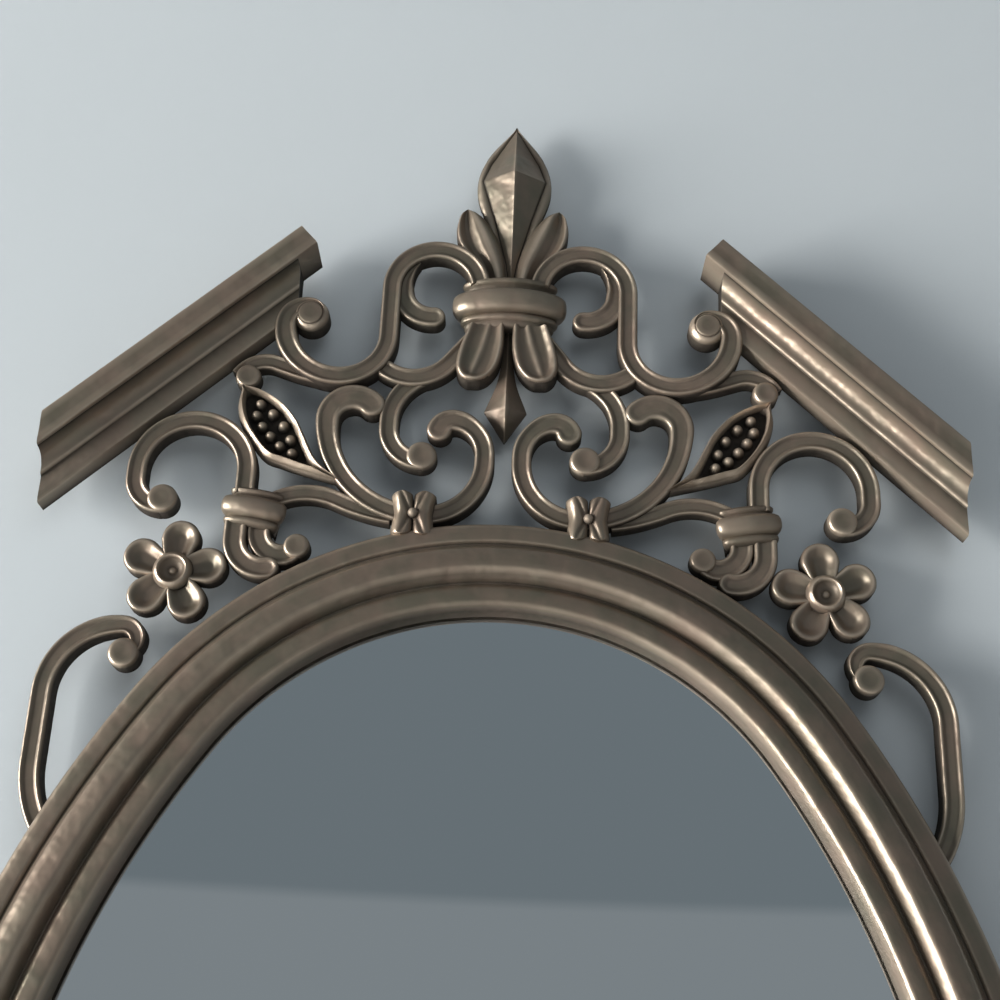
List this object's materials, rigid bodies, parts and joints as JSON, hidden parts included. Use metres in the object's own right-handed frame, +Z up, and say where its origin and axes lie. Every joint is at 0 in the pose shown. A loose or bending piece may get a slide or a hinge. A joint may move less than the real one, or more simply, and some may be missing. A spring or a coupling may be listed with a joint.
{
  "type": "wall mirror",
  "caption": "Oval wall mirror in a moulded bronze-gilt frame, under a pierced scrollwork crest with raking cornices and a bud finial; turn buttons hold the glass and board at the back.",
  "frame": {"origin": "hang point: on the wall plane, on the axis of symmetry, just under the tip of the pendant", "axes": "+X to the right seen from the front, +Y into the wall, +Z up; the back of the mirror lies on Y = 0"},
  "size_m": [0.355, 0.024, 0.6698],
  "materials": {
    "gilding": "antique bronze gilding on moulded composition, dark in the hollows and worn bright on the edges",
    "mirror": "silvered float glass",
    "hardboard": "brown hardboard",
    "steel": "zinc plated"
  },
  "bodies": {
    "mirror": {"oval_frame": "gilding", "finial_collar": "gilding", "finial_bud": "gilding", "pendant_drop": "gilding", "cornice_right": "gilding", "cornice_left": "gilding", "crest_scroll_right": "gilding", "crest_scroll_left": "gilding", "curl_arm_right": "gilding", "curl_arm_left": "gilding", "finial_leaf_right": "gilding", "finial_leaf_left": "gilding", "plume_tongue_right": "gilding", "plume_tongue_left": "gilding", "inner_curl_right": "gilding", "inner_curl_left": "gilding", "heart_scroll_right": "gilding", "heart_scroll_left": "gilding", "seed_pod_right": "gilding", "seed_pod_left": "gilding", "seed_beads_right": "gilding", "seed_beads_left": "gilding", "ribbon_bow_right": "gilding", "ribbon_bow_left": "gilding", "foot_arm_right": "gilding", "foot_arm_left": "gilding", "shoulder_band_right": "gilding", "shoulder_band_left": "gilding", "arch_scroll_right": "gilding", "arch_scroll_left": "gilding", "shoulder_foot_right": "gilding", "shoulder_foot_left": "gilding", "rosette_right": "gilding", "rosette_left": "gilding", "rosette_button_right": "gilding", "rosette_button_left": "gilding", "side_scroll_right": "gilding", "side_scroll_left": "gilding", "mirror_glass": "mirror", "backing_board": "hardboard", "button_screws": "steel"},
    "button_right_upper": {"turn_button_right_upper": "steel"},
    "button_top": {"turn_button_top": "steel"},
    "button_left_upper": {"turn_button_left_upper": "steel"},
    "button_left_lower": {"turn_button_left_lower": "steel"},
    "button_bottom": {"turn_button_bottom": "steel"},
    "button_right_lower": {"turn_button_right_lower": "steel"}
  },
  "joints": [
    {"name": "turn_right_upper", "type": "hinge", "parent": "mirror", "child": "button_right_upper", "pos_m": [0.08839, -0.004, -0.08601], "axis": [0, 1, 0], "range_deg": [-90, 90]},
    {"name": "turn_top", "type": "hinge", "parent": "mirror", "child": "button_top", "pos_m": [0, -0.004, -0.0494], "axis": [0, 1, 0], "range_deg": [-90, 90]},
    {"name": "turn_left_upper", "type": "hinge", "parent": "mirror", "child": "button_left_upper", "pos_m": [-0.08839, -0.004, -0.08601], "axis": [0, 1, 0], "range_deg": [-90, 90]},
    {"name": "turn_left_lower", "type": "hinge", "parent": "mirror", "child": "button_left_lower", "pos_m": [-0.08839, -0.004, -0.47879], "axis": [0, 1, 0], "range_deg": [-90, 90]},
    {"name": "turn_bottom", "type": "hinge", "parent": "mirror", "child": "button_bottom", "pos_m": [0, -0.004, -0.5154], "axis": [0, 1, 0], "range_deg": [-90, 90]},
    {"name": "turn_right_lower", "type": "hinge", "parent": "mirror", "child": "button_right_lower", "pos_m": [0.08839, -0.004, -0.47879], "axis": [0, 1, 0], "range_deg": [-90, 90]}
  ]
}
